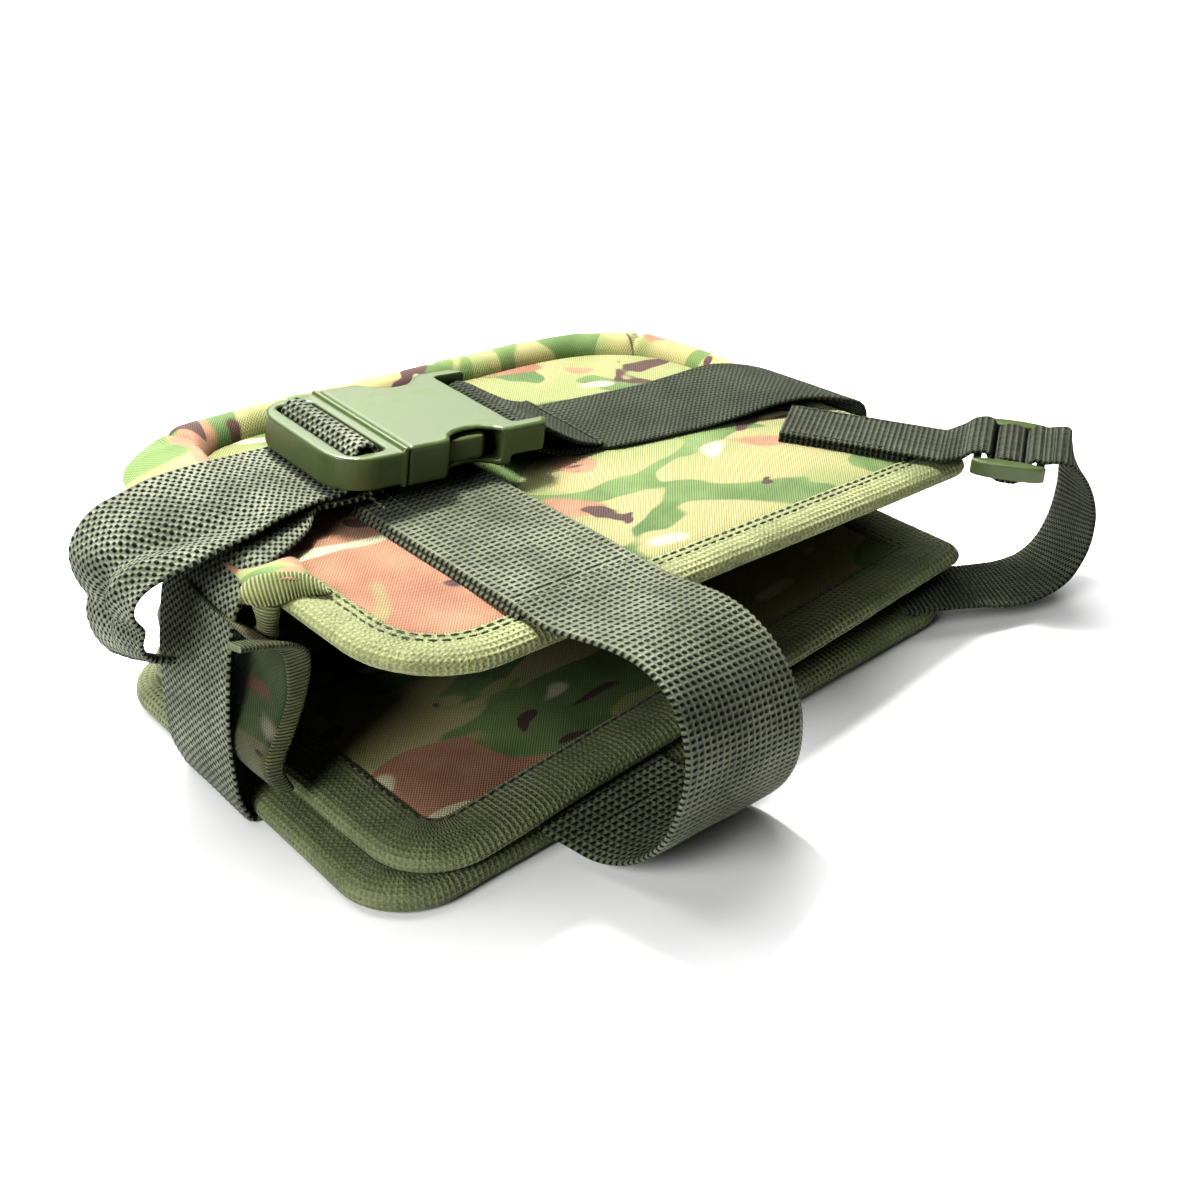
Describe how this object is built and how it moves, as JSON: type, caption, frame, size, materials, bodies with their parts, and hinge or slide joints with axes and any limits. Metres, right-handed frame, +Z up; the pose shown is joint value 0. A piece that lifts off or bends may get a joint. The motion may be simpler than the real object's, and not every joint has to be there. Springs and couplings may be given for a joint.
{
  "type": "folding fabric field case",
  "caption": "Folded camouflage fabric case: stiffened bound panels with a bellows pouch, a webbing belt with a side-release buckle, a wide front loop and a corner strap with a slide.",
  "frame": {"origin": "centre of the base panel's footprint, on the underside of the belt that the case lies on", "axes": "+X along the long side towards the tri-glide, +Y to the folded back edge, +Z up"},
  "size_m": [0.2893, 0.2023, 0.0936],
  "materials": {
    "camouflage_fabric": "woven nylon, satin",
    "lining_fabric": "woven nylon, matt",
    "stiffener_board": "sheet",
    "foam": "closed cell foam",
    "binding_tape": "ribbed tape",
    "webbing": "woven, matt",
    "moulded_plastic": "satin",
    "thread": "matt"
  },
  "bodies": {
    "base": {"base_cover": "camouflage_fabric", "base_board": "stiffener_board", "base_foam": "foam", "base_lining": "lining_fabric", "base_binding": "binding_tape", "middle_cover": "camouflage_fabric", "middle_board": "stiffener_board", "middle_foam": "foam", "middle_lining": "lining_fabric", "middle_binding": "binding_tape", "gusset_left": "camouflage_fabric", "gusset_right": "camouflage_fabric", "gusset_back": "camouflage_fabric", "gusset_left_binding": "binding_tape", "gusset_right_binding": "binding_tape", "belt_underside": "webbing", "belt_side_left": "webbing", "belt_side_right": "webbing", "front_strap_end": "webbing", "corner_strap_end": "webbing"},
    "top_panel": {"top_lining": "lining_fabric", "top_foam": "foam", "top_board": "stiffener_board", "top_cover": "camouflage_fabric", "top_binding": "binding_tape", "top_rim": "camouflage_fabric", "top_rim_filler": "foam", "belt_top_left": "webbing", "belt_female_wrap": "webbing", "belt_top_right": "webbing", "buckle_female": "moulded_plastic", "front_strap_backing": "webbing", "front_strap_top": "webbing", "front_strap_loop": "webbing", "front_strap_stitches": "thread", "corner_strap_anchor": "webbing", "corner_strap_top": "webbing", "corner_strap_fold": "webbing", "corner_strap_loop": "webbing", "corner_strap_stitches": "thread"},
    "buckle_male_body": {"buckle_male": "moulded_plastic", "belt_male_wrap": "webbing", "belt_tail": "webbing", "belt_tail_hem": "webbing"},
    "latch_front": {"latch_arm_front": "moulded_plastic"},
    "latch_rear": {"latch_arm_rear": "moulded_plastic"},
    "tri_glide_body": {"tri_glide": "moulded_plastic"}
  },
  "joints": [
    {"name": "top_lift", "type": "hinge", "parent": "base", "child": "top_panel", "pos_m": [0.00784, 0.07892, 0.06246], "axis": [-0.9941, -0.0382, 0.1011], "range_deg": [0, 12], "deforming": ["gusset_left", "gusset_right", "gusset_back", "gusset_left_binding", "gusset_right_binding", "belt_side_left", "belt_side_right", "front_strap_loop", "corner_strap_loop"]},
    {"name": "buckle_release", "type": "slide", "parent": "top_panel", "child": "buckle_male_body", "axis": [-0.9864, 0.0037, 0.1646], "range_m": [0, 0.028], "deforming": ["belt_top_left", "latch_arm_front", "latch_arm_rear"]},
    {"name": "latch_front_flex", "type": "hinge", "parent": "buckle_male_body", "child": "latch_front", "pos_m": [-0.04718, 0.00387, 0.08416], "axis": [0.1644, -0.0278, 0.986], "range_deg": [0, 6], "stiffness_Nm_per_rad": 0.06},
    {"name": "latch_rear_flex", "type": "hinge", "parent": "buckle_male_body", "child": "latch_rear", "pos_m": [-0.04693, 0.03485, 0.08499], "axis": [-0.1644, 0.0278, -0.986], "range_deg": [0, 6], "stiffness_Nm_per_rad": 0.06},
    {"name": "tri_glide_slide", "type": "slide", "parent": "top_panel", "child": "tri_glide_body", "axis": [0.5541, -0.8308, -0.0523], "range_m": [-0.0025, 0.005], "deforming": ["corner_strap_fold", "corner_strap_loop"]}
  ],
  "couplings": [
    {"joint": "latch_rear_flex", "follows": "latch_front_flex", "ratio": 1}
  ]
}
